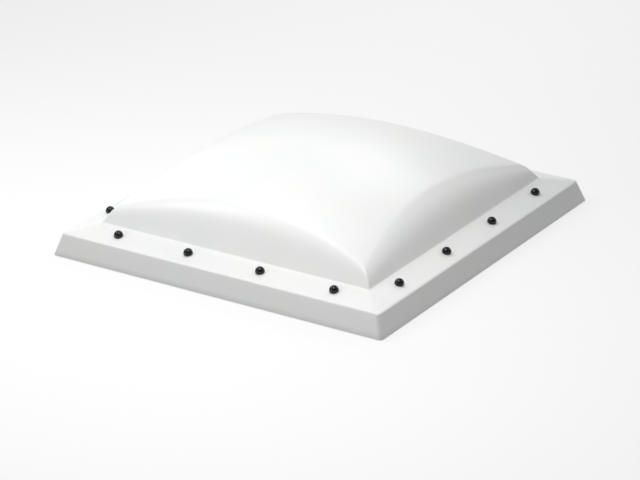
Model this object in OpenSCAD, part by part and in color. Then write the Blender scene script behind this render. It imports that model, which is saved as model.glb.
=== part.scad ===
// Square roof skylight: a double-skin dome on a mitred hollow frame, held by capped screws.
// Base plane z = 0 is the drip edge of the outer skin. +Z is up, and the plan is square about the origin.

/* [Overall] */
// flange width across the flats at its outer top edge, mm
flange_size = 800; // [500:5:1200]
// width of the flange from its outer edge to the dome foot, mm
flange_w = 62; // [54:0.5:90]
// rise of the flange from its outer edge to the dome foot, mm
flange_rise = 15.5; // [4:0.5:30]
// drop of the drip skirt below the flange edge, mm
skirt_drop = 49; // [44:0.5:80]
// how far the skirt flares outward over its drop, mm
skirt_flare = 15.8; // [4:0.1:30]
// number of grid steps along each side of a dome skin
side_steps = 14; // [8:2:24]
// number of rings from the foot of a dome skin to its top
dome_rings = 14; // [8:1:24]

/* [Outer dome] */
// sheet thickness of the outer skin, mm
outer_t = 3; // [2:0.5:5]
// height of the crown above the dome foot, mm
outer_rise = 122.5; // [60:0.5:200]
// height of the outer crown over the middle of a side, mm
outer_side_rise = 63.5; // [30:0.5:120]
// height of the outer crown over a corner, mm
outer_corner_rise = 21; // [5:0.5:60]
// steepness of the dome walls above the horizontal, degrees
wall_angle = 62.5; // [35:0.5:75]
// softness of the bend between wall and crown at the middle of a side, mm
blend_mid = 50; // [8:1:80]
// softness of the same bend at the corners, mm
blend_corner = 5; // [2:0.5:20]
// bend radius between flange and skirt, mm
edge_r = 5; // [3.5:0.5:8]
// radius of the skirt's upright corners, mm
skirt_corner_r = 9; // [6:0.5:20]
// radius of the dome foot's corners, mm
foot_corner_r = 3; // [2:0.5:10]

/* [Inner dome] */
// sheet thickness of the inner skin, mm
inner_t = 2.5; // [2:0.5:4]
// how far the inner dome foot stands inside the outer one, mm
inner_inset = 15; // [10:1:30]
// height of the inner crown above its own foot, mm
inner_rise = 96; // [40:1:170]
// height of the inner crown over the middle of a side, mm
inner_side_rise = 47; // [20:0.5:100]
// height of the inner crown over a corner, mm
inner_corner_rise = 15; // [4:0.5:50]
// how far the inner flange stops short of the flange edge, mm
inner_flange_setback = 8; // [6:0.5:20]

/* [Seals] */
// thickness of the strips between the two skins, mm
spacer_t = 4; // [2:0.5:8]
// width of the strips between the two skins, mm
spacer_w = 36; // [24:1:45]
// thickness of the gaskets on the frame, mm
gasket_t = 3; // [2:0.5:5]
// width of the gaskets on the frame, mm
gasket_w = 32; // [20:1:40]
// thickness of the kerb seals under the frame, mm
kerb_seal_t = 4; // [2:0.5:8]
// width of the kerb seals, mm
kerb_seal_w = 30; // [16:1:40]
// height of the kerb seals' underside above the drip edge, mm
kerb_level = 10; // [4:1:14]

/* [Frame rails] */
// distance of the rail's outer face inside the flange edge, mm
rail_setback = 10; // [8:0.5:20]
// width of the rail box, mm
rail_w = 48; // [40:1:60]
// width of the ledge with the kerb fixing holes, mm
ledge_w = 22; // [16:1:40]
// wall thickness of the rail, mm
rail_wall = 2.5; // [1.5:0.1:4]
// thickness of the web between the two chambers, mm
web_t = 2; // [1.5:0.1:4]
// depth of the upper chamber, square to the flange, mm
upper_chamber = 6.5; // [4:0.5:10]
// radius of the kerb fixing holes, mm
kerb_hole_r = 3.25; // [2:0.05:5]
// distance from a flange corner to the kerb fixing hole along each side, mm
kerb_hole_end = 180; // [120:5:220]
// distance of the kerb fixing holes from the ledge tip, mm
kerb_hole_inset = 11; // [7:0.5:20]

/* [Corner keys] */
// length of each leg of a corner key, mm
key_leg = 60; // [30:1:90]
// width of a key's legs, mm
key_w = 30; // [15:1:40]
// height of a key's legs, mm
key_h = 5.5; // [3:0.5:8]

/* [Fixings] */
// number of screws along each side
screws_per_side = 4; // [3:1:6]
// distance from a flange corner to the nearest screw along each side, mm
screw_end = 127.75; // [60:0.25:200]
// distance of the screw line inside the flange edge, mm
screw_inset = 33.5; // [28:0.5:40]
// radius of the screw's shank, mm
screw_r = 2.4; // [2:0.1:3.5]
// length of the screw below its head, mm
screw_length = 34; // [28:1:45]
// width of the hexagon head across its flats, mm
head_flats = 8; // [6:0.5:11]
// height of the screw head, mm
head_h = 4; // [2.5:0.5:6]
// radius of the screw's washer collar, mm
collar_r = 5.2; // [4.5:0.1:6]
// thickness of the screw's washer collar, mm
collar_t = 0.9; // [0.6:0.1:1.5]
// radius of the clearance holes in the skins, mm
clearance_hole_r = 4.5; // [4:0.1:6]
// outer radius of the sleeves in those holes, mm
sleeve_r = 4.1; // [3.6:0.1:5.5]
// inner radius of the sleeves, mm
sleeve_bore_r = 2.7; // [2.3:0.1:4]
// radius of the sealing washers, mm
seal_washer_r = 8.6; // [7:0.1:10]
// thickness of the sealing washers, mm
seal_washer_t = 2; // [1:0.1:3]
// radius of the steel washers, mm
steel_washer_r = 7.8; // [6:0.1:10]
// thickness of the steel washers, mm
steel_washer_t = 1.2; // [0.8:0.1:2]
// outer radius of the caps, mm
cap_r = 10; // [8:0.1:14]
// height of the caps, mm
cap_h = 12.8; // [10:0.1:18]
// height of the caps' straight skirt, mm
cap_skirt = 4; // [2:0.1:6]
// wall thickness of the caps, mm
cap_wall = 1.1; // [0.8:0.1:2]

/* [Fits] */
// clearance all round between parts that slide together, mm
slide_gap = 0.2; // [0.1:0.05:0.5]
// clearance round the screws in the rails, mm
thread_gap = 0.05; // [0.02:0.01:0.2]
// clearance between layers that lie on each other, mm
seat_gap = 0.05; // [0.02:0.01:0.2]
// half the gap left at the mitres, mm
mitre_gap = 0.1; // [0.05:0.05:0.5]

/* [Hidden] */
$fn = 48;
sides = ["front", "right", "back", "left"];
// turn that carries the +X side to each named side
side_turn = [-90, 0, 90, 180];
half_flange = flange_size / 2;
half_foot = half_flange - flange_w;
flange_slope = atan(flange_rise / flange_w);
edge_z = skirt_drop;
skirt_lean = atan(skirt_flare / skirt_drop);
drip_half = half_flange + skirt_flare;
stack_t = outer_t + spacer_t + inner_t + gasket_t;
screw_s = half_flange - screw_inset;
screw_reach = half_flange - screw_end;
screw_pitch = 2 * screw_reach / (screws_per_side - 1);
kerb_hole_reach = half_flange - kerb_hole_end;
rail_out = half_flange - rail_setback;
rail_in = rail_out - rail_w;
ledge_tip = rail_in - ledge_w;
rail_base = kerb_level + kerb_seal_t;
arc_steps = 3;
// even, so that one point of every corner lies on the hip
corner_steps = 4;
ring_bias = 1.5;
inner_edge = half_flange - inner_flange_setback;
inner_foot = half_foot - inner_inset;
inner_depth = outer_t + spacer_t;
rail_mid = (rail_out + rail_in) / 2;
outer_rises = [outer_rise, outer_side_rise, outer_corner_rise];
inner_rises = [inner_rise, inner_side_rise, inner_corner_rise];
chamber_in = rail_in + rail_wall;
chamber_out = rail_out - rail_wall;
web_top = stack_t + rail_wall + upper_chamber;
web_bottom = web_top + web_t;
head_z = seal_washer_t + steel_washer_t + 2 * seat_gap;
cap_ball_r = (pow(cap_r, 2) + pow(cap_h - cap_skirt, 2)) / (2 * (cap_h - cap_skirt));
cap_count = len(sides) * screws_per_side;
opal = [0.95, 0.96, 0.96];
clear = [0.88, 0.92, 0.93];
seal_black = [0.1, 0.1, 0.11];
mill_grey = [0.72, 0.73, 0.75];

// height of a plane parallel to the flange's top, at distance s from the axis and depth d below it
function flange_z(s, d = 0) = edge_z + (half_flange - s) * tan(flange_slope) - d / cos(flange_slope);

// smooth minimum of two heights
function soft_min(a, b, k) =
    let (h = min(1, max(0, 0.5 + 0.5 * (b - a) / k)))
    b * (1 - h) + a * h - k * h * (1 - h);

// height of a dome skin above its foot: a shallow crown softly joined to four sloping walls
function dome_z(x, y, half, rises, depth) =
    let (
        u = pow(x / half, 2),
        v = pow(y / half, 2),
        crown = rises[0] - depth - (rises[0] - rises[1]) * (u + v)
            - (2 * rises[1] - rises[0] - rises[2]) * u * v,
        reach = half - depth / sin(wall_angle),
        wall_x = (reach - abs(x)) * tan(wall_angle),
        wall_y = (reach - abs(y)) * tan(wall_angle),
        k = blend_corner + (blend_mid - blend_corner) * (1 - min(u, v))
    )
    soft_min(crown, soft_min(wall_x, wall_y, blend_corner), k);

// points round one rounded square, each as [x, y]
function ring_xy(s, r) = [
    for (q = [0 : 3])
        for (i = [0 : side_steps + corner_steps - 1])
            let (
                straight = i <= side_steps,
                along = (s - r) * sin(90 * (2 * min(i, side_steps) / side_steps - 1)),
                turn = straight ? 0 : 90 * (i - side_steps) / corner_steps,
                x = straight ? s : s - r + r * cos(turn),
                y = straight ? along : s - r + r * sin(turn)
            )
            [x * cos(90 * q) - y * sin(90 * q), x * sin(90 * q) + y * cos(90 * q)]
];

// a level ring at height z
function level_ring(s, r, z) = [for (p = ring_xy(s, r)) [p[0], p[1], z]];

// a ring that follows the sloping flange at depth d, with its hips running to the corners
function sloped_ring(s, r, d) = [for (p = ring_xy(s, r)) [p[0], p[1], flange_z(max(abs(p[0]), abs(p[1])), d)]];

// rings of one face of a dome skin, from just inside its foot to just short of its top
function dome_rings_of(foot_at, foot_r, foot_z, half, rises, depth) = [
    for (j = [1 : dome_rings - 1])
        let (s = foot_at * (1 - pow(j / dome_rings, ring_bias)))
        [for (p = ring_xy(s, foot_r * s / foot_at))
            [p[0], p[1], foot_z + dome_z(p[0], p[1], half, rises, depth)]]
];

// inward step of a skin's lower face at the dome foot, where flange and wall meet
function foot_step(t) = t * (1 / cos(wall_angle) - 1 / cos(flange_slope)) / (tan(wall_angle) - tan(flange_slope));

// closed skin from two stacks of rings, each running from the rim to the top
module skin(outside, outside_top, inside, inside_top) {
    n = len(outside[0]);
    rows_out = len(outside);
    rows_in = len(inside);
    first_in = rows_out * n + 1;
    points = concat([for (ring = outside) each ring], [outside_top],
        [for (ring = inside) each ring], [inside_top]);
    faces = concat(
        [for (j = [0 : rows_out - 2]) for (i = [0 : n - 1])
            let (a = j * n + i, b = j * n + (i + 1) % n) each [[a, b + n, b], [a, a + n, b + n]]],
        [for (i = [0 : n - 1]) [(rows_out - 1) * n + i, rows_out * n, (rows_out - 1) * n + (i + 1) % n]],
        [for (j = [0 : rows_in - 2]) for (i = [0 : n - 1])
            let (a = first_in + j * n + i, b = first_in + j * n + (i + 1) % n) each [[a, b, b + n], [a, b + n, a + n]]],
        [for (i = [0 : n - 1])
            [first_in + (rows_in - 1) * n + i, first_in + (rows_in - 1) * n + (i + 1) % n, first_in + rows_in * n]],
        [for (i = [0 : n - 1])
            let (a = i, b = (i + 1) % n, c = first_in + i, d = first_in + (i + 1) % n) each [[a, b, d], [a, d, c]]]
    );
    polyhedron(points = points, faces = faces, convexity = 6);
}

// puts its children at every screw, with z square to the flange and zero on its top face
module at_screws() {
    for (side = [0 : 3])
        for (k = [0 : screws_per_side - 1])
            at_screw(side, k)
                children();
}

// puts its children at screw k of one side
module at_screw(side, k) {
    rotate([0, 0, side_turn[side]])
        translate([screw_s, k * screw_pitch - screw_reach, flange_z(screw_s)])
            rotate([0, flange_slope, 0])
                children();
}

// straight bar along the +X side with mitred ends; its children draw the section as [s, z]
module mitred_bar() {
    reach = drip_half;
    intersection() {
        translate([0, reach, 0])
            rotate([90, 0, 0])
                linear_extrude(2 * reach)
                    children();
        linear_extrude(2 * edge_z)
            polygon([[mitre_gap, 0], [reach, mitre_gap - reach], [reach, reach - mitre_gap]]);
    }
}

// band of a section parallel to the flange, between two depths
module sloped_band(s_in, s_out, d_top, d_bottom) {
    polygon([
        [s_in, flange_z(s_in, d_bottom)],
        [s_out, flange_z(s_out, d_bottom)],
        [s_out, flange_z(s_out, d_top)],
        [s_in, flange_z(s_in, d_top)]
    ]);
}

// opal outer skin: dome, sloping flange and drip skirt in one sheet
module outer_dome() {
    half_turn = (90 + flange_slope + skirt_lean) / 2;
    to_foot = [-cos(flange_slope), sin(flange_slope)];
    to_drip = [sin(skirt_lean), -cos(skirt_lean)];
    middle = to_foot + to_drip;
    centre = [half_flange, edge_z] + middle / norm(middle) * edge_r / sin(half_turn);
    last = 90 - flange_slope;
    folds = [for (i = [0 : arc_steps - 1]) skirt_lean + (last - skirt_lean) * i / arc_steps];
    foot_z = flange_z(half_foot);
    under_foot = half_foot - foot_step(outer_t);
    inner_r = skirt_corner_r - outer_t;
    outside = concat(
        [level_ring(drip_half, skirt_corner_r, 0)],
        [for (a = folds) level_ring(centre[0] + edge_r * cos(a), skirt_corner_r, centre[1] + edge_r * sin(a))],
        [sloped_ring(centre[0] + edge_r * cos(last), skirt_corner_r, 0)],
        [sloped_ring(half_foot, foot_corner_r, 0)],
        dome_rings_of(half_foot, foot_corner_r, foot_z, half_foot, outer_rises, 0)
    );
    fold_r = edge_r - outer_t;
    inside = concat(
        [level_ring(drip_half - outer_t / cos(skirt_lean), inner_r, 0)],
        [for (a = folds) level_ring(centre[0] + fold_r * cos(a), inner_r, centre[1] + fold_r * sin(a))],
        [sloped_ring(centre[0] + fold_r * cos(last), inner_r, outer_t)],
        [sloped_ring(under_foot, foot_corner_r, outer_t)],
        dome_rings_of(under_foot, foot_corner_r, foot_z, half_foot, outer_rises, outer_t)
    );
    color(opal)
        difference() {
            skin(outside, [0, 0, foot_z + outer_rise], inside, [0, 0, foot_z + outer_rise - outer_t]);
            at_screws()
                translate([0, 0, -2 * outer_t])
                    cylinder(r = clearance_hole_r, h = 3 * outer_t);
        }
}

// second skin under the outer one, with a flat sloping flange
module inner_dome() {
    foot_z = flange_z(inner_foot, inner_depth);
    under_foot = inner_foot - foot_step(inner_t);
    under_depth = inner_depth + inner_t;
    outside = concat(
        [sloped_ring(inner_edge, skirt_corner_r, inner_depth)],
        [sloped_ring(inner_foot, foot_corner_r, inner_depth)],
        dome_rings_of(inner_foot, foot_corner_r, foot_z, inner_foot, inner_rises, 0)
    );
    inside = concat(
        [sloped_ring(inner_edge, skirt_corner_r, under_depth)],
        [sloped_ring(under_foot, foot_corner_r, under_depth)],
        dome_rings_of(under_foot, foot_corner_r, foot_z, inner_foot, inner_rises, inner_t)
    );
    color(clear)
        difference() {
            skin(outside, [0, 0, foot_z + inner_rise], inside, [0, 0, foot_z + inner_rise - inner_t]);
            at_screws()
                translate([0, 0, -under_depth - inner_t])
                    cylinder(r = clearance_hole_r, h = 3 * inner_t);
        }
}

// foam strip between the two skins along one side
module spacer_strip(side) {
    color(seal_black)
        difference() {
            rotate([0, 0, side_turn[side]])
                mitred_bar()
                    sloped_band(screw_s - spacer_w / 2, screw_s + spacer_w / 2,
                        outer_t + seat_gap, inner_depth - seat_gap);
            sleeve_holes(side);
        }
}

// gasket between the inner skin and the frame along one side
module frame_gasket(side) {
    color(seal_black)
        difference() {
            rotate([0, 0, side_turn[side]])
                mitred_bar()
                    sloped_band(screw_s - gasket_w / 2, screw_s + gasket_w / 2,
                        inner_depth + inner_t + seat_gap, stack_t - seat_gap);
            sleeve_holes(side);
        }
}

// holes for the sleeves of one side, through every soft layer
module sleeve_holes(side) {
    for (k = [0 : screws_per_side - 1])
        at_screw(side, k)
            translate([0, 0, -stack_t - outer_t])
                cylinder(r = sleeve_r + slide_gap, h = stack_t + 2 * outer_t);
}

// hollow two-chamber rail with an inner ledge along one side
module frame_rail(side) {
    color(mill_grey)
        difference() {
            rotate([0, 0, side_turn[side]])
                mitred_bar()
                    rail_section();
            for (k = [0 : screws_per_side - 1])
                at_screw(side, k)
                    translate([0, 0, -web_bottom - rail_wall])
                        cylinder(r = screw_r + thread_gap, h = web_bottom + rail_wall);
            rotate([0, 0, side_turn[side]])
                for (along = [-kerb_hole_reach, kerb_hole_reach])
                    translate([ledge_tip + kerb_hole_inset, along, rail_base - rail_wall])
                        cylinder(r = kerb_hole_r, h = 3 * rail_wall);
        }
}

// section of a rail: box with sloping top, two chambers and a ledge
module rail_section() {
    difference() {
        polygon([
            [ledge_tip, rail_base],
            [rail_out, rail_base],
            [rail_out, flange_z(rail_out, stack_t)],
            [rail_in, flange_z(rail_in, stack_t)],
            [rail_in, rail_base + rail_wall],
            [ledge_tip, rail_base + rail_wall]
        ]);
        sloped_band(chamber_in, chamber_out, stack_t + rail_wall, web_top);
        polygon([
            [chamber_in, rail_base + rail_wall],
            [chamber_out, rail_base + rail_wall],
            [chamber_out, flange_z(chamber_out, web_bottom)],
            [chamber_in, flange_z(chamber_in, web_bottom)]
        ]);
    }
}

// L-shaped key that joins two rails inside their lower chambers
module corner_key(corner) {
    near = rail_mid - key_w / 2;
    far = rail_mid + key_w / 2;
    tip = near - key_leg;
    color(mill_grey)
        rotate([0, 0, side_turn[corner]])
            translate([0, 0, rail_base + rail_wall + seat_gap])
                linear_extrude(key_h)
                    polygon([[far, far], [tip, far], [tip, near], [near, near], [near, tip], [far, tip]]);
}

// soft seal under one rail, where the frame stands on its kerb
module kerb_seal(side) {
    color(seal_black)
        rotate([0, 0, side_turn[side]])
            mitred_bar()
                translate([rail_mid - kerb_seal_w / 2, kerb_level])
                    square([kerb_seal_w, kerb_seal_t - seat_gap]);
}

// hexagon-headed screws through both skins into the rails
module fixing_screws() {
    tip_h = 2 * screw_r;
    color([0.78, 0.79, 0.8])
        at_screws() {
            translate([0, 0, head_z])
                cylinder(r = collar_r, h = collar_t);
            translate([0, 0, head_z + collar_t])
                rotate([0, 0, 30])
                    cylinder(r = head_flats / 2 / cos(30), h = head_h, $fn = 6);
            translate([0, 0, head_z - screw_length + tip_h])
                cylinder(r = screw_r, h = screw_length - tip_h);
            translate([0, 0, head_z - screw_length])
                cylinder(r1 = screw_r / 4, r2 = screw_r, h = tip_h);
        }
}

// steel washers under the screw heads
module steel_washers() {
    color([0.78, 0.79, 0.8])
        at_screws()
            translate([0, 0, seal_washer_t + seat_gap])
                ring(steel_washer_r, screw_r + slide_gap, steel_washer_t);
}

// soft washers that seal the holes in the outer skin
module sealing_washers() {
    color(seal_black)
        at_screws()
            translate([0, 0, seat_gap])
                ring(seal_washer_r, screw_r + slide_gap, seal_washer_t - seat_gap);
}

// sleeves that keep the skins clear of the screws and the strips from being crushed
module hole_sleeves() {
    color([0.9, 0.89, 0.85])
        at_screws()
            translate([0, 0, seat_gap - stack_t])
                ring(sleeve_r, sleeve_bore_r, stack_t - 2 * seat_gap);
}

// plain round ring
module ring(r_out, r_in, h) {
    difference() {
        cylinder(r = r_out, h = h);
        translate([0, 0, -h])
            cylinder(r = r_in, h = 3 * h);
    }
}

// domed solid of a cap's outside or hollow, less a wall all round
module cap_form(wall) {
    skirt = cap_skirt;
    union() {
        translate([0, 0, -wall])
            cylinder(r = cap_r - wall, h = skirt + wall);
        intersection() {
            translate([0, 0, skirt])
                cylinder(r = cap_r - wall, h = cap_h);
            translate([0, 0, cap_h - cap_ball_r])
                sphere(r = cap_ball_r - wall);
        }
    }
}

// glossy cap over one screw head
module screw_cap(index) {
    color([0.03, 0.03, 0.035])
        at_screw(floor(index / screws_per_side), index % screws_per_side)
            translate([0, 0, seat_gap])
                difference() {
                    cap_form(0);
                    cap_form(cap_wall);
                }
}

function cap_name(i) = str("screw_cap_", i < 9 ? "0" : "", i + 1);
corners = ["front_right", "back_right", "back_left", "front_left"];

outer_dome();
inner_dome();
for (i = [0 : 3]) {
    spacer_strip(i);
    frame_gasket(i);
    frame_rail(i);
    corner_key(i);
    kerb_seal(i);
}
fixing_screws();
steel_washers();
sealing_washers();
hole_sleeves();
for (i = [0 : cap_count - 1])
    screw_cap(i);
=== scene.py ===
# %% [markdown]
# # A square roof skylight
# A fixed rooflight for a flat roof. One white acrylic sheet is heated and drawn into a shallow dome with
# a sloping flange and a flared skirt, so rain runs off all round. Screws go through the flange into a
# hollow metal frame, and each screw head wears a glossy black cap. A second dome inside makes a warm
# layer of air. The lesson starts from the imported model, and its pieces keep to the boxes and the places
# of that model.

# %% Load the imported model
import math
import bmesh
import bpy
from mathutils import Matrix, Vector


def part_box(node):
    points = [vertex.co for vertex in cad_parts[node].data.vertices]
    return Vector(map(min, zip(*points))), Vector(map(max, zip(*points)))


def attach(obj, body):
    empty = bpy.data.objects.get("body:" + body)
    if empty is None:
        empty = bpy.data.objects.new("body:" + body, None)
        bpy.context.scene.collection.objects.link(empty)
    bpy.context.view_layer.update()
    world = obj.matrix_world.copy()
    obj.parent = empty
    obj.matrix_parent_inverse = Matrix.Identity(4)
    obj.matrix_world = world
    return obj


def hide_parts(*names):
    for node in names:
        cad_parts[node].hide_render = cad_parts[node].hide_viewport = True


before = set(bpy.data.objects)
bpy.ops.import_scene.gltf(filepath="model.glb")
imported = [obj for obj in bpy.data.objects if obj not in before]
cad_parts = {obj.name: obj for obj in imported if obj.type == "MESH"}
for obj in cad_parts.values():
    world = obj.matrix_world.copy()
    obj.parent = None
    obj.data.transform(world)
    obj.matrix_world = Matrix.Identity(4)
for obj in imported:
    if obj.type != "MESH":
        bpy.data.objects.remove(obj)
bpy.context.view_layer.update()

MM = 0.001

# %% [markdown]
# ## The camera
# A long lens from a fair way off keeps the four sides nearly parallel, as a catalogue view does. The
# camera is placed by its turn and height round an aim point, with a small roll, and it needs no lens
# shift.

# %% Aim the camera
SENSOR_WIDTH = 36               # millimetres
SIGHT_LIMIT = 60                # metres, well past the object


def place_camera(aim, azimuth, elevation, roll, distance, lens):
    """Camera that looks at aim from azimuth and elevation in degrees; azimuth 0 looks along +Y."""
    az, el = math.radians(azimuth), math.radians(elevation)
    back = Vector((math.sin(az) * math.cos(el), -math.cos(az) * math.cos(el), math.sin(el)))
    level = Vector((math.cos(az), math.sin(az), 0))
    right = Matrix.Rotation(math.radians(roll), 3, back) @ level
    up = back.cross(right)
    data = bpy.data.cameras.new("long_lens")
    data.lens, data.sensor_width = lens, SENSOR_WIDTH
    data.clip_end = SIGHT_LIMIT
    camera = bpy.data.objects.new("long_lens", data)
    bpy.context.collection.objects.link(camera)
    turn = Matrix((right, up, back)).transposed().to_4x4()
    camera.matrix_world = Matrix.Translation(aim + back * distance) @ turn
    bpy.context.scene.camera = camera
    return camera


camera = place_camera(aim=Vector((0.0087, -0.0289, -0.0174)), azimuth=34.57, elevation=23.694,
                      roll=-1.708, distance=6.3453, lens=165.94)
print("camera at", [round(v, 3) for v in camera.location], "lens", camera.data.lens, "mm")

# %% [markdown]
# ## The sizes
# The flange, the skirt and the dome foot are the model's own. The outer dome's box gives the drip edge
# and the crown, so only the sizes that a box can't show are written here. A half size runs from the axis
# to a side.

# %% Sizes of the formed sheet
outer_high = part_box("outer_dome")[1]
DRIP_HALF = outer_high[0]
CROWN_Z = outer_high[2]
FLANGE_HALF = 400 * MM          # outer edge of the flange
EDGE_Z = 49 * MM                # its height above the drip edge
FOOT_HALF = 338 * MM            # foot of the outer dome
FLANGE_RISE = 15.5 * MM         # from the flange's edge up to the foot
OUTER_T = 3 * MM                # the opal skin
SPACER_T = 4 * MM               # the foam strip between the skins
INNER_T = 2.5 * MM              # the clear skin
FOOT_R = 2.5 * MM               # bend at a dome's foot
FOLD_R = 5 * MM                 # bend from the flange to the skirt
FOOT_CORNER_R = 3 * MM          # corners in plan, at a dome's foot
EDGE_CORNER_R = 9 * MM          # corners in plan, at a flange's edge and down the skirt
WALL_ANGLE = math.radians(62.5)
SLOPE = math.atan(FLANGE_RISE / (FLANGE_HALF - FOOT_HALF))
LEAN = math.atan((DRIP_HALF - FLANGE_HALF) / EDGE_Z)
print("flange slope", round(math.degrees(SLOPE), 2), "deg, skirt lean", round(math.degrees(LEAN), 2), "deg")


def flange_z(s, depth=0.0):
    """Height of a plane parallel to the flange, s out from the axis and depth below its top face."""
    return EDGE_Z + (FLANGE_HALF - s) * math.tan(SLOPE) - depth / math.cos(SLOPE)


# %% [markdown]
# ## The shape of the dome
# The sheet is drawn up through a square clamp, so it isn't a ball: each side rises as a steep wall, and a
# shallow crown runs over all four. Wall and crown melt into each other, widely in the middle of a side
# and tightly at the corners. A smooth minimum of the five surfaces gives just that.

# %% Height of the dome at any place
TIGHT_BLEND = 15 * MM           # at the corners
WIDE_BLEND = 50 * MM            # in the middle of a side
HIP_SHARE = 0.8                 # two walls blend over at most this share of the lower one's height
TINY = 0.001 * MM               # anything smaller counts as nothing
OUTER_RISES = (CROWN_Z - flange_z(FOOT_HALF), 63.5 * MM, 21 * MM)     # axis, side's middle, corner


def soft_min(a, b, k):
    """The smaller of two numbers, rounded off where they differ by less than k."""
    h = min(1.0, max(0.0, 0.5 + 0.5 * (b - a) / k))
    return b * (1 - h) + a * h - k * h * (1 - h)


def soft_max(a, b, k):
    return -soft_min(-a, -b, k)


def dome_height(x, y, half, rises):
    """Height above the foot; rises are the crown's at the axis, over a side's middle and over a corner."""
    top, side, corner = rises
    u, v = (x / half) ** 2, (y / half) ** 2
    crown = top - (top - side) * (u + v) - (2 * side - top - corner) * u * v
    wall_x = (half - abs(x)) * math.tan(WALL_ANGLE)
    wall_y = (half - abs(y)) * math.tan(WALL_ANGLE)
    lower = max(TINY, min(wall_x, wall_y))
    wall = soft_min(wall_x, wall_y, min(TIGHT_BLEND, HIP_SHARE * lower))
    return soft_min(crown, wall, TIGHT_BLEND + (WIDE_BLEND - TIGHT_BLEND) * (1 - min(u, v)))


for share in (0, 0.5, 0.9):
    rise = dome_height(share * FOOT_HALF, 0, FOOT_HALF, OUTER_RISES)
    print("rise at", share, "of the way to a side, mm:", round(rise / MM, 1))

# %% [markdown]
# ## From a flat grid to a formed sheet
# A real sheet starts flat, and so does this one: a grid, crowded towards its edges where the bends are.
# Its border is then extruded ring by ring, over the foot's small fillet, down the flange, round the fold
# and down the skirt. Every vertex remembers its place on a unit square, so each ring can be a rounded
# square of its own. The sheet gets its thickness from a Solidify modifier last, because an even wall is
# what a drawn sheet has.

# %% Helpers for rings and sheets
GRID_STEPS = 96
EDGE_SHARE = 0.25               # how crowded the grid is at its edge: 1 is even
RIM_STEPS = 2
RIM_ANGLE = math.radians(55)    # sharper edges than this are rims


def crowd(u):
    """Place from -1 to 1 moved outwards, so that a grid is fine at its edges and coarse in the middle."""
    t = 1 - abs(u)
    return math.copysign(1 - (EDGE_SHARE * t + (1 - EDGE_SHARE) * t * t), u)


def on_ring(unit, s, r):
    """Place on a rounded square of half size s and corner radius r, from the place on a unit square."""
    ux, uy = unit
    big, small = max(abs(ux), abs(uy)), min(abs(ux), abs(uy))
    if s <= 0 or big <= 0:
        return 0.0, 0.0
    along = (1 - small / big) * (s - r + math.pi * r / 4)
    if along < math.pi * r / 4:
        turn = math.pi / 4 - along / r
        a, b = s - r + r * math.cos(turn), s - r + r * math.sin(turn)
    else:
        a, b = s, s - r - (along - math.pi * r / 4)
    x, y = (a, b) if abs(ux) >= abs(uy) else (b, a)
    return math.copysign(x, ux), math.copysign(y, uy)


def arc_points(corner, to_a, to_b, radius, steps):
    """Points of a fillet of a section's corner [s, z], from the side to_a round to the side to_b."""
    a, b = Vector(to_a).normalized(), Vector(to_b).normalized()
    half = math.acos(a.dot(b)) / 2
    centre = Vector(corner) + (a + b).normalized() * (radius / math.sin(half))
    start = Vector(corner) + a * (radius / math.tan(half)) - centre
    stop = Vector(corner) + b * (radius / math.tan(half)) - centre
    sweep = start.angle_signed(stop)
    return [centre + Matrix.Rotation(-sweep * i / steps, 2) @ start for i in range(steps + 1)]


def link_mesh(name, bm, smooth=True):
    mesh = bpy.data.meshes.new(name)
    bm.to_mesh(mesh)
    bm.free()
    for polygon in mesh.polygons:
        polygon.use_smooth = smooth
    piece = bpy.data.objects.new(name, mesh)
    bpy.context.collection.objects.link(piece)
    return piece


def formed_sheet(name, half, foot_z, rises, foot_r, rings):
    """A grid drawn up into a dome, with its border extruded ring by ring.

    A ring is (s, z, corner radius), where z is a height or a rule that gives it from x and y.
    """
    bm = bmesh.new()
    unit = bm.verts.layers.float_vector.new("unit")
    bmesh.ops.create_grid(bm, x_segments=GRID_STEPS, y_segments=GRID_STEPS, size=1)
    inner = rings[0][0]
    for v in bm.verts:
        v[unit] = (crowd(v.co.x), crowd(v.co.y), 0)
        s = inner * max(abs(v[unit].x), abs(v[unit].y))
        x, y = on_ring(v[unit].xy, s, foot_r * s / inner)
        v.co = (x, y, foot_z + dome_height(x, y, half, rises))
    border = [e for e in bm.edges if e.is_boundary]
    for s, z, r in rings[1:]:
        made = bmesh.ops.extrude_edge_only(bm, edges=border)["geom"]
        border = [g for g in made if isinstance(g, bmesh.types.BMEdge)]
        for v in [g for g in made if isinstance(g, bmesh.types.BMVert)]:
            x, y = on_ring(v[unit].xy, s, r)
            v.co = (x, y, z(x, y) if callable(z) else z)
    bmesh.ops.recalc_face_normals(bm, faces=bm.faces)
    if sum(f.normal.z * f.calc_area() for f in bm.faces) < 0:
        bmesh.ops.reverse_faces(bm, faces=bm.faces)
    bm.verts.layers.float_vector.remove(unit)
    return link_mesh(name, bm)


def thicken(piece, thickness, edge):
    """Give a sheet its wall, below its top face, and round the rim's edges a little."""
    wall = piece.modifiers.new("wall", "SOLIDIFY")
    wall.thickness, wall.offset = thickness, -1
    wall.use_even_offset = True
    wall.use_quality_normals = True
    rim = piece.modifiers.new("rim", "BEVEL")
    rim.width, rim.segments, rim.limit_method = edge, RIM_STEPS, "ANGLE"
    rim.angle_limit = RIM_ANGLE


print("grid step at the middle and at the edge, shares of a half side:",
      round(crowd(2 / GRID_STEPS), 4), round(1 - crowd(1 - 2 / GRID_STEPS), 4))

# %% [markdown]
# ## The outer dome
# The dome, flange and skirt are one sheet. The foot is a crisp inside bend of 2.5 mm, because the clamp
# frame pinches the sheet there; the fold to the skirt is a rounder 5 mm, as it forms over a wooden edge.
# The flange's four planes meet in soft hips, not creases, so a soft maximum joins them.

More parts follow.
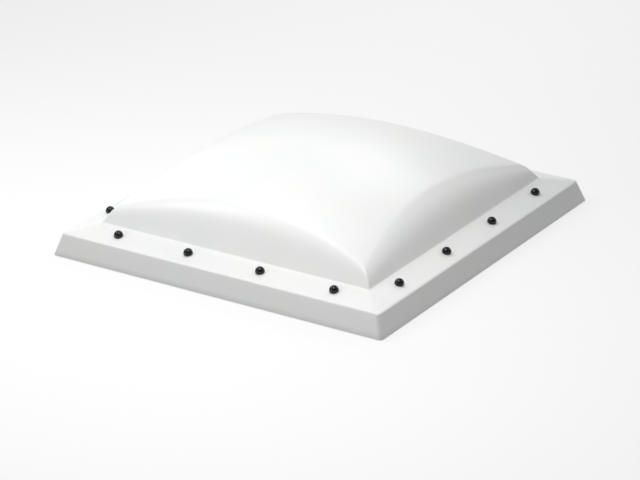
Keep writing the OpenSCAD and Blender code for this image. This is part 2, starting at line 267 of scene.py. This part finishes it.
# %% Make the outer dome
HIP_BLEND = 14 * MM
FOOT_STEPS, FOLD_STEPS, FLANGE_STEPS, SKIRT_STEPS = 4, 8, 10, 4
OUTER_RIM = 0.5 * MM            # rounding of the rim's edges
RIM_LIFT = 1.3 * MM             # the rim is cut square to the sheet, so its outer edge ends a little higher


def on_flange(depth):
    """Rule for the height of a layer of the flange, from x and y."""
    return lambda x, y: flange_z(soft_max(abs(x), abs(y), HIP_BLEND), depth)


foot_corner = (FOOT_HALF, flange_z(FOOT_HALF))
up_wall = (-math.cos(WALL_ANGLE), math.sin(WALL_ANGLE))
out_flange = (math.cos(SLOPE), -math.sin(SLOPE))
in_flange = (-math.cos(SLOPE), math.sin(SLOPE))
down_skirt = (math.sin(LEAN), -math.cos(LEAN))
foot_arc = arc_points(foot_corner, up_wall, out_flange, FOOT_R, FOOT_STEPS)
fold_arc = arc_points((FLANGE_HALF, EDGE_Z), in_flange, down_skirt, FOLD_R, FOLD_STEPS)


def blend_number(a, b, t):
    return a + (b - a) * t


def flange_rings(start, stop, depth):
    """Rings down the flange from half size start to stop, on the layer that lies depth below its top."""
    rings = []
    for i in range(1, FLANGE_STEPS + 1):
        t = i / FLANGE_STEPS
        corner = blend_number(FOOT_CORNER_R, EDGE_CORNER_R, t)
        rings.append((blend_number(start, stop, t), on_flange(depth), corner))
    return rings


def skirt_rings(start, stop):
    """Rings down the skirt, from one place (s, z) to another."""
    rings = []
    for i in range(1, SKIRT_STEPS + 1):
        t = i / SKIRT_STEPS
        s, z = (blend_number(a, b, t) for a, b in zip(start, stop))
        rings.append((s, z, EDGE_CORNER_R))
    return rings


outer_rings = [(p.x, p.y, FOOT_CORNER_R) for p in foot_arc]
outer_rings += flange_rings(foot_arc[-1].x, fold_arc[0].x, 0)
outer_rings += [(p.x, p.y, EDGE_CORNER_R) for p in fold_arc[1:]]
outer_rings += skirt_rings(fold_arc[-1], (DRIP_HALF - RIM_LIFT * math.tan(LEAN), RIM_LIFT))

outer_shell = formed_sheet("outer_dome_sheet", FOOT_HALF, flange_z(FOOT_HALF), OUTER_RISES,
                           FOOT_CORNER_R, outer_rings)
thicken(outer_shell, OUTER_T, OUTER_RIM)
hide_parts("outer_dome")
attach(outer_shell, "root")
print("outer sheet:", len(outer_shell.data.polygons), "faces before its thickness")

# %% [markdown]
# ## The inner dome
# The second skin is drawn lower and stands a little inside the first. It has a flange of its own but no
# skirt.

# %% Make the inner dome
inner_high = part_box("inner_dome")[1]
INNER_DEPTH = OUTER_T + SPACER_T
INNER_FOOT = 323 * MM           # half size of the inner dome's foot
INNER_RIM = 0.4 * MM
inner_foot_z = flange_z(INNER_FOOT, INNER_DEPTH)
INNER_RISES = (inner_high[2] - inner_foot_z, 47 * MM, 15 * MM)
inner_arc = arc_points((INNER_FOOT, inner_foot_z), up_wall, out_flange, FOOT_R, FOOT_STEPS)
inner_rings = [(p.x, p.y, FOOT_CORNER_R) for p in inner_arc]
inner_rings += flange_rings(inner_arc[-1].x, inner_high[0], INNER_DEPTH)
inner_shell = formed_sheet("inner_dome_sheet", INNER_FOOT, inner_foot_z, INNER_RISES,
                           FOOT_CORNER_R, inner_rings)
thicken(inner_shell, INNER_T, INNER_RIM)
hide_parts("inner_dome")
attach(inner_shell, "root")
print("inner sheet:", len(inner_shell.data.polygons), "faces before its thickness")

# %% [markdown]
# ## Where the screws stand
# Four screws hold each side, evenly spaced and square to the sloping flange. One matrix for each screw
# carries whatever sits there, drawn upright at the origin, to its place.

# %% Places of the screws
SIDES = ("front", "right", "back", "left")
SIDE_TURN = (-90, 0, 90, 180)   # degrees that carry the right side to each side
SCREWS_PER_SIDE = 4
SCREW_INSET = 33.5 * MM         # from the flange's outer edge
SCREW_PITCH = 181.5 * MM
SCREW_LINE = FLANGE_HALF - SCREW_INSET


def turn_to(side):
    return Matrix.Rotation(math.radians(SIDE_TURN[side]), 4, "Z")


def at_screw(side, k):
    """Matrix that stands +Z on the flange at screw k of a side."""
    along = (k - (SCREWS_PER_SIDE - 1) / 2) * SCREW_PITCH
    place = Matrix.Translation((SCREW_LINE, along, flange_z(SCREW_LINE)))
    return turn_to(side) @ place @ Matrix.Rotation(SLOPE, 4, "Y")


screw_places = [at_screw(side, k) for side in range(len(SIDES)) for k in range(SCREWS_PER_SIDE)]
first = screw_places[0].translation
print(len(screw_places), "screws, the first at, mm:", [round(v / MM, 1) for v in first])

# %% [markdown]
# ## The caps
# A cap is a small moulded dome that snaps over the screw head. Its section tucks in a little at the rim,
# swells to its full width, and runs into a nearly half-round top. Spinning that section makes the whole
# cap.

# %% Make the caps
CAP_R, CAP_H, CAP_SKIRT, CAP_WALL = 10 * MM, 12.8 * MM, 4 * MM, 1.1 * MM
CAP_RIM_R, CAP_RIM_WALL = 9.2 * MM, 0.5 * MM
CAP_STEPS = 12                  # steps from the skirt to the top
SWELL_STEPS, SWELL_TURN = 6, math.radians(15)   # a quarter turn, whose last point is the top's first
BORE_SHARE = 0.6                # share of the skirt's height where the wall reaches its full thickness
SPIN_STEPS = 48
SEAT_GAP = 0.05 * MM            # between the flange and what stands on it


def cap_section(inset):
    """Half section of the cap's round top, from the skirt up, inset by a wall thickness."""
    ball = (CAP_R ** 2 + (CAP_H - CAP_SKIRT) ** 2) / (2 * (CAP_H - CAP_SKIRT))
    centre = CAP_H - ball
    start = math.asin((CAP_SKIRT - centre) / ball)
    points = []
    for i in range(CAP_STEPS + 1):
        a = start + (math.pi / 2 - start) * i / CAP_STEPS
        points.append(((ball - inset) * math.cos(a), centre + (ball - inset) * math.sin(a)))
    return points


def spin_section(bm, points):
    """Spin a half section (r, z) round the Z axis, and close the seam and the pole."""
    verts = [bm.verts.new((r, 0, z)) for r, z in points]
    edges = [bm.edges.new(pair) for pair in zip(verts, verts[1:])]
    bmesh.ops.spin(bm, geom=verts + edges, cent=(0, 0, 0), axis=(0, 0, 1), angle=math.tau,
                   steps=SPIN_STEPS, use_merge=True, use_duplicate=False)
    bmesh.ops.remove_doubles(bm, verts=bm.verts, dist=TINY)


def make_cap(name, matrix):
    bm = bmesh.new()
    swell = [(CAP_RIM_R + (CAP_R - CAP_RIM_R) * math.sin(t), CAP_SKIRT * (1 - math.cos(t)))
             for t in (SWELL_TURN * i for i in range(SWELL_STEPS))]
    outside = swell + cap_section(0)
    rim_inside = [(CAP_RIM_R - CAP_RIM_WALL, 0), (CAP_R - CAP_WALL, CAP_SKIRT * BORE_SHARE)]
    inside = rim_inside + cap_section(CAP_WALL)
    spin_section(bm, inside[::-1] + outside)
    bmesh.ops.recalc_face_normals(bm, faces=bm.faces)
    bmesh.ops.transform(bm, matrix=matrix @ Matrix.Translation((0, 0, SEAT_GAP)), verts=bm.verts)
    return link_mesh(name, bm)


caps = []
for index, place in enumerate(screw_places):
    number = f"{index + 1:02d}"
    cap = make_cap(f"cap_{number}", place)
    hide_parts(f"screw_cap_{number}")
    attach(cap, "root")
    caps.append(cap)
print(len(caps), "caps,", len(caps[0].data.polygons), "faces each")

# %% [markdown]
# ## Holes for the screws
# Both skins are drilled after forming, with room for a sleeve round each screw, so that the plastic can
# move as it warms. A cutter of sixteen short rods takes all the holes out in one cut. Its faces are flat
# shaded, which keeps the smooth shading of the flange away from the walls of the holes.

# %% Drill the skins
HOLE_R = 4.5 * MM
HOLE_STEPS = 32
ROD_REACH = 15 * MM             # how far a rod runs above and below the flange


def drill(piece):
    """Cut the screw holes in a skin, and keep its wall, its rim and the holes as one plain mesh."""
    bm = bmesh.new()
    for place in screw_places:
        bmesh.ops.create_cone(bm, cap_ends=True, segments=HOLE_STEPS, radius1=HOLE_R, radius2=HOLE_R,
                              depth=2 * ROD_REACH, matrix=place)
    rods = link_mesh("drill_rods", bm, smooth=False)
    cut = piece.modifiers.new("holes", "BOOLEAN")
    cut.operation, cut.solver, cut.object = "DIFFERENCE", "EXACT", rods
    bpy.context.view_layer.update()
    finished = piece.evaluated_get(bpy.context.evaluated_depsgraph_get())
    drilled = bpy.data.meshes.new_from_object(finished)
    piece.modifiers.clear()
    piece.data = drilled
    bpy.data.objects.remove(rods)
    bm = bmesh.new()
    bm.from_mesh(drilled)
    open_edges = sum(not e.is_manifold for e in bm.edges)
    bm.free()
    print(piece.name, "drilled:", len(drilled.polygons), "faces,", open_edges, "open edges")


drill(outer_shell)
drill(inner_shell)

# %% [markdown]
# ## The kerb seals
# Under the frame lies a soft rubber seal that takes up the roughness of the upstand. The real one is
# extruded: a flat back with three round ribs that squash under load. So its section is drawn once, made a
# face, and extruded along the side, and the far end is moved to the opposite mitre.

# %% Make the kerb seals
MITRE_GAP = 0.15 * MM           # each seal stops this far short of the diagonal
RIBS = 3
RIB_R = 1.8 * MM
RIB_STEPS = 10
SHARP_ANGLE = math.radians(40)  # the ribs are shaded smooth, and the seal's flat sides meet them sharply


def seal_section(low, high):
    """Outline of the seal as (s, z): a flat back above and round ribs below."""
    rib_width = (high.x - low.x) / RIBS
    base = low.z + RIB_R
    points = [(low.x, high.z), (low.x, base)]
    for rib in range(RIBS):
        centre = low.x + (rib + 0.5) * rib_width
        for i in range(RIB_STEPS + 1):
            a = math.pi * i / RIB_STEPS
            points.append((centre - RIB_R * math.cos(a), base - RIB_R * math.sin(a)))
    return points + [(high.x, base), (high.x, high.z)]


def make_seal(side):
    low, high = (Vector(corner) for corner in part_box("kerb_seal_right"))
    bm = bmesh.new()
    section = [bm.verts.new((s, MITRE_GAP - s, z)) for s, z in seal_section(low, high)]
    made = bmesh.ops.extrude_face_region(bm, geom=[bm.faces.new(section)], use_keep_orig=True)["geom"]
    for v in [g for g in made if isinstance(g, bmesh.types.BMVert)]:
        v.co.y = -v.co.y
    bmesh.ops.recalc_face_normals(bm, faces=bm.faces)
    bmesh.ops.transform(bm, matrix=turn_to(side), verts=bm.verts)
    seal = link_mesh(f"ribbed_kerb_seal_{SIDES[side]}", bm)
    seal.data.set_sharp_from_angle(angle=SHARP_ANGLE)
    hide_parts(f"kerb_seal_{SIDES[side]}")
    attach(seal, "root")
    return seal


kerb_seals = [make_seal(side) for side in range(len(SIDES))]
print(len(kerb_seals), "kerb seals,", len(kerb_seals[0].data.polygons), "faces each")

# %% [markdown]
# ## Materials
# Colours are written as the eye reads them, in sRGB hex, and one function turns them to the linear values
# that the shader wants. One more small function adds a node with its settings and links.

# %% Helpers for materials
def linear(hex_colour):
    """Linear red, green, blue and alpha of an sRGB hex colour."""
    def one(c):
        return c / 12.92 if c <= 0.04045 else ((c + 0.055) / 1.055) ** 2.4
    return tuple(one(int(hex_colour[i:i + 2], 16) / 255) for i in (1, 3, 5)) + (1.0,)


def add_node(tree, kind, settings=(), inputs=()):
    """One node: settings are its own properties, inputs are values or (node, output) links by socket."""
    node = tree.nodes.new(kind)
    for key, value in dict(settings).items():
        setattr(node, key, value)
    for key, value in dict(inputs).items():
        if isinstance(value, tuple) and len(value) == 2 and isinstance(value[0], bpy.types.Node):
            tree.links.new(value[0].outputs[value[1]], node.inputs[key])
        else:
            node.inputs[key].default_value = value
    return node


def start_material(name):
    material = bpy.data.materials.new(name)
    material.use_nodes = True
    tree = material.node_tree
    return material, tree, tree.nodes["Principled BSDF"]


def put_on(material, *pieces):
    for piece in pieces:
        if not piece.material_slots:
            piece.data.materials.append(material)
        for place in piece.material_slots:
            place.material = material
    print(material.name, "on", len(pieces), "pieces")


def nodes_named(start):
    """The model's own pieces whose names begin with start."""
    return [piece for name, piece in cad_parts.items() if name.startswith(start)]


print("middle grey #808080 is", round(linear("#808080")[0], 3), "to the shader")

# %% [markdown]
# ### One pattern, three effects
# On a real surface the same grain that changes the tone also changes the gloss and the relief: a die line
# is a little darker, a little rougher and a little deeper. So one pattern drives all three, from a grain
# size in metres. Stretching the pattern along one axis turns grain into lines.

# %% Helper for grained finishes
GRAIN_LOW, GRAIN_HIGH = 0.3, 0.7        # nearly all of a noise texture lies between these


def grained(name, tones, grain, roughness, relief, stretch=(1, 1, 1), cells=False):
    """A finish whose tone, roughness and relief follow one pattern; cells takes bubbles, not noise."""
    material, tree, shader = start_material(name)
    place = add_node(tree, "ShaderNodeTexCoord")
    spot = add_node(tree, "ShaderNodeMapping", {}, {"Vector": (place, "Object"), "Scale": stretch})
    kind, output = ("ShaderNodeTexVoronoi", "Distance") if cells else ("ShaderNodeTexNoise", "Fac")
    pattern = add_node(tree, kind, {}, {"Vector": (spot, "Vector"), "Scale": 1 / grain})
    share = add_node(tree, "ShaderNodeMapRange", {},
                     {"Value": (pattern, output), "From Min": GRAIN_LOW, "From Max": GRAIN_HIGH})
    tone = add_node(tree, "ShaderNodeMixRGB", {},
                    {"Fac": (share, "Result"), "Color1": linear(tones[0]), "Color2": linear(tones[1])})
    gloss = add_node(tree, "ShaderNodeMapRange", {},
                     {"Value": (share, "Result"), "To Min": roughness[0], "To Max": roughness[1]})
    bump = add_node(tree, "ShaderNodeBump", {}, {"Height": (share, "Result"), "Distance": relief})
    tree.links.new(tone.outputs["Color"], shader.inputs["Base Color"])
    tree.links.new(gloss.outputs["Result"], shader.inputs["Roughness"])
    tree.links.new(bump.outputs["Normal"], shader.inputs["Normal"])
    return material, shader


print("share of a pattern's range that makes the whole finish:", round(GRAIN_HIGH - GRAIN_LOW, 2))

# %% [markdown]
# ### Opal acrylic
# Cast acrylic sheet with a white filler, drawn hot with nothing touching its outer face. The eye sees a
# soft, even gloss without streaks, very long and faint draw waves, and a white that drifts a little
# between cool and warm where the sheet was stretched. Light scatters inside it a few millimetres, which
# softens the shading.

# %% Opal acrylic
ACRYLIC_IOR = 1.49
DRAW_WAVE = 140 * MM                    # length of the faint waves that drawing leaves in a sheet
DRAW_DEPTH = 0.1 * MM


def opal_acrylic():
    material, shader = grained("opal_acrylic_drawn_sheet", ("#F3F5F5", "#F5F5F3"), DRAW_WAVE,
                               roughness=(0.3, 0.34), relief=DRAW_DEPTH)
    shader.inputs["IOR"].default_value = ACRYLIC_IOR
    shader.inputs["Subsurface Weight"].default_value = 0.2
    shader.inputs["Subsurface Radius"].default_value = (1.0, 1.0, 1.0)
    shader.inputs["Subsurface Scale"].default_value = 4 * MM
    return material


put_on(opal_acrylic(), outer_shell)

# %% [markdown]
# ### Clear acrylic
# The inner skin is the same plastic without the filler, so the opal skin alone spreads the light. The eye
# sees a clear, glossy sheet with the same long waves, and a trace of grey-green.

# %% Clear acrylic
def clear_acrylic():
    material, shader = grained("clear_acrylic_drawn_sheet", ("#F1F6F4", "#F6F8F7"), DRAW_WAVE,
                               roughness=(0.03, 0.06), relief=DRAW_DEPTH)
    shader.inputs["IOR"].default_value = ACRYLIC_IOR
    shader.inputs["Transmission Weight"].default_value = 1.0
    return material


put_on(clear_acrylic(), inner_shell)

# %% [markdown]
# ### Glossy black polypropylene
# Dyed through and moulded in a polished tool. The eye sees a near-black with a sharp highlight, slightly
# uneven because the plastic shrinks as it cools.

# %% Black polypropylene
SHRINK_WAVE = 3 * MM                    # size of the dimples that shrinking leaves
POLYPROPYLENE_IOR = 1.49


def black_polypropylene():
    material, shader = grained("black_polypropylene_polished_mould", ("#040405", "#070708"), SHRINK_WAVE,
                               roughness=(0.08, 0.13), relief=0.01 * MM)
    shader.inputs["IOR"].default_value = POLYPROPYLENE_IOR
    return material


put_on(black_polypropylene(), *caps)

# %% [markdown]
# ### Mill-finish aluminium
# The rails come straight from an extrusion press. The die draws fine lines along the whole length, and
# the metal between them is grey and half bright. The lines are about a millimetre apart here, coarser
# than real ones, so that they show. They run along X on the front and back rails and along Y on the other
# two. The corner keys are sawn from bar, which leaves them duller, with short upright lines.

# %% Extruded and sawn aluminium
DIE_LINE = 1.2 * MM
SAW_LINE = 0.8 * MM
LINE_STRETCH = 0.01                     # the pattern is a hundred times as long as it is wide


def mill_aluminium(axis):
    stretch = (LINE_STRETCH, 1, 1) if axis == "x" else (1, LINE_STRETCH, 1)
    material, shader = grained(f"mill_finish_extruded_aluminium_{axis}", ("#A9ACAF", "#C9CBCD"), DIE_LINE,
                               roughness=(0.3, 0.46), relief=0.03 * MM, stretch=stretch)
    shader.inputs["Metallic"].default_value = 1.0
    return material


def sawn_aluminium():
    material, shader = grained("sawn_aluminium", ("#9B9EA1", "#BFC1C3"), SAW_LINE,
                               roughness=(0.35, 0.55), relief=0.05 * MM, stretch=(1, 1, LINE_STRETCH))
    shader.inputs["Metallic"].default_value = 1.0
    return material


along_x, along_y = mill_aluminium("x"), mill_aluminium("y")
for name in SIDES:
    put_on(along_x if name in ("front", "back") else along_y, *nodes_named(f"frame_rail_{name}"))
put_on(sawn_aluminium(), *nodes_named("corner_key_"))

# %% [markdown]
# ### Rubber and foam
# Extruded EPDM is matt and very slightly grainy, with a faint grey bloom. The strips between the two
# skins are closed-cell foam, whose cut bubbles are about a millimetre across.

# %% Rubber and foam
RUBBER_GRAIN = 1.5 * MM                 # coarser than the real one, so that it shows
FOAM_BUBBLE = 1 * MM


def epdm_rubber():
    material, _ = grained("extruded_epdm_rubber", ("#1B1C1E", "#2A2B2D"), RUBBER_GRAIN,
                          roughness=(0.62, 0.8), relief=0.04 * MM)
    return material


def closed_cell_foam():
    material, _ = grained("closed_cell_foam_strip", ("#222325", "#3A3B3D"), FOAM_BUBBLE,
                          roughness=(0.85, 0.95), relief=0.2 * MM, cells=True)
    return material


put_on(epdm_rubber(), *kerb_seals, *nodes_named("frame_gasket_"), *nodes_named("sealing_washers"))
put_on(closed_cell_foam(), *nodes_named("spacer_strip_"))

# %% [markdown]
# ### Steel and nylon
# The screws and washers are bright stainless steel, whose fine scratches run mostly one way. The sleeves
# are turned from natural nylon: a warm white that lets some light in, with faint marks round each sleeve.

# %% Steel and nylon
STEEL_SCRATCH = 0.6 * MM
NYLON_TURNING = 0.8 * MM                # length of the tool's marks, four times their height


def bright_stainless():
    material, shader = grained("bright_stainless_steel", ("#A8A6A2", "#C4C2BE"), STEEL_SCRATCH,
                               roughness=(0.2, 0.34), relief=0.01 * MM, stretch=(1, 0.2, 1))
    shader.inputs["Metallic"].default_value = 1.0
    return material


def natural_nylon():
    material, shader = grained("natural_nylon_turned", ("#E2DCCB", "#EDE8DA"), NYLON_TURNING,
                               roughness=(0.35, 0.5), relief=0.02 * MM, stretch=(1, 1, 4))
    shader.inputs["Subsurface Weight"].default_value = 0.3
    shader.inputs["Subsurface Radius"].default_value = (1.0, 0.9, 0.7)
    shader.inputs["Subsurface Scale"].default_value = 2 * MM
    return material


put_on(bright_stainless(), *nodes_named("fixing_screws"), *nodes_named("steel_washers"))
put_on(natural_nylon(), *nodes_named("hole_sleeves"))

# %% [markdown]
# ## Floor and light
# A white object on a white floor is shown by its soft shading alone. Square soft boxes hang close above
# it, so their light falls off across the flange and the crown. Very wide lamps stand low at the left and
# behind, and one stands higher at the right. The floor is a lit table: most of its white is its own, so
# it stays even under lamps that fall off. It throws no diffuse light back, which keeps the skirts a clear
# step darker than the flange. Past the floor the camera sees a pale backdrop, brighter than the sky's own
# light.

# %% The lit table
FLOOR_REACH = 30                        # metres, from the axis to its edge
FLOOR_GLOW = 0.66
FLOOR_ROUGHNESS = 0.9


def make_floor():
    bm = bmesh.new()
    bmesh.ops.create_grid(bm, x_segments=2, y_segments=2, size=FLOOR_REACH)
    floor = link_mesh("studio_floor", bm, smooth=False)
    material, _, shader = start_material("pale_lit_table")
    shader.inputs["Base Color"].default_value = linear("#959595")
    shader.inputs["Roughness"].default_value = FLOOR_ROUGHNESS
    shader.inputs["Emission Color"].default_value = (1, 1, 1, 1)
    shader.inputs["Emission Strength"].default_value = FLOOR_GLOW
    put_on(material, floor)
    floor.visible_diffuse = False


make_floor()

# %% The sky
SKY = 0.23                              # strength of the sky's light
BACKDROP = 0.85                         # the sky as the camera sees it, past the floor


def make_sky():
    world = bpy.data.worlds.new("studio_sky")
    world.use_nodes = True
    tree = world.node_tree
    background = tree.nodes["Background"]
    background.inputs["Color"].default_value = (1, 1, 1, 1)
    ray = add_node(tree, "ShaderNodeLightPath")
    strength = add_node(tree, "ShaderNodeMapRange", {},
                        {"Value": (ray, "Is Camera Ray"), "To Min": SKY, "To Max": BACKDROP})
    tree.links.new(strength.outputs["Result"], background.inputs["Strength"])
    bpy.context.scene.world = world


make_sky()
print("sky light", SKY, "and backdrop", BACKDROP)

# %% The lamps
BOX_SIZE, BOX_HEIGHT = 0.7, 1.3         # metres
SUN_SPREAD = math.radians(30)
SUN_DISTANCE = 5                        # metres; a sun lights the same from anywhere


def add_lamp(name, kind, watts, place, towards):
    """Add a lamp that faces towards; a sun's watts are its strength."""
    data = bpy.data.lights.new(name, kind)
    data.energy = watts
    lamp = bpy.data.objects.new(name, data)
    bpy.context.collection.objects.link(lamp)
    lamp.location = place
    lamp.rotation_mode = "QUATERNION"
    lamp.rotation_quaternion = Vector(towards).to_track_quat("-Z", "Y")
    return data


def soft_sun(name, azimuth, elevation, strength):
    """A very wide lamp without falloff; azimuth is counted from +X towards +Y, in degrees."""
    az, el = math.radians(azimuth), math.radians(elevation)
    source = Vector((math.cos(el) * math.cos(az), math.cos(el) * math.sin(az), math.sin(el)))
    add_lamp(name, "SUN", strength, source * SUN_DISTANCE, -source).angle = SUN_SPREAD


def soft_box(name, x, y, watts):
    """A square soft box above the place x, y that looks straight down."""
    add_lamp(name, "AREA", watts, (x, y, BOX_HEIGHT), (0, 0, -1)).size = BOX_SIZE


soft_box("box_over_front", 0.35, -0.7, 8.2)
soft_box("box_over_front_left", -1.05, -0.7, 7.4)
soft_box("box_over_left", -0.35, 0.0, 4.2)
soft_box("box_over_back", -0.35, 1.4, 3.4)
soft_box("box_far_back", -1.05, 2.1, 2.5)
soft_sun("low_front_left", 240, 12, 0.36)
soft_sun("low_back_left", 150, 12, 0.29)
soft_sun("low_back", 120, 12, 0.11)
soft_sun("mid_back_right", 60, 32, 0.48)
bpy.context.scene.view_settings.view_transform = "Standard"
print(len(bpy.data.lights), "lamps")
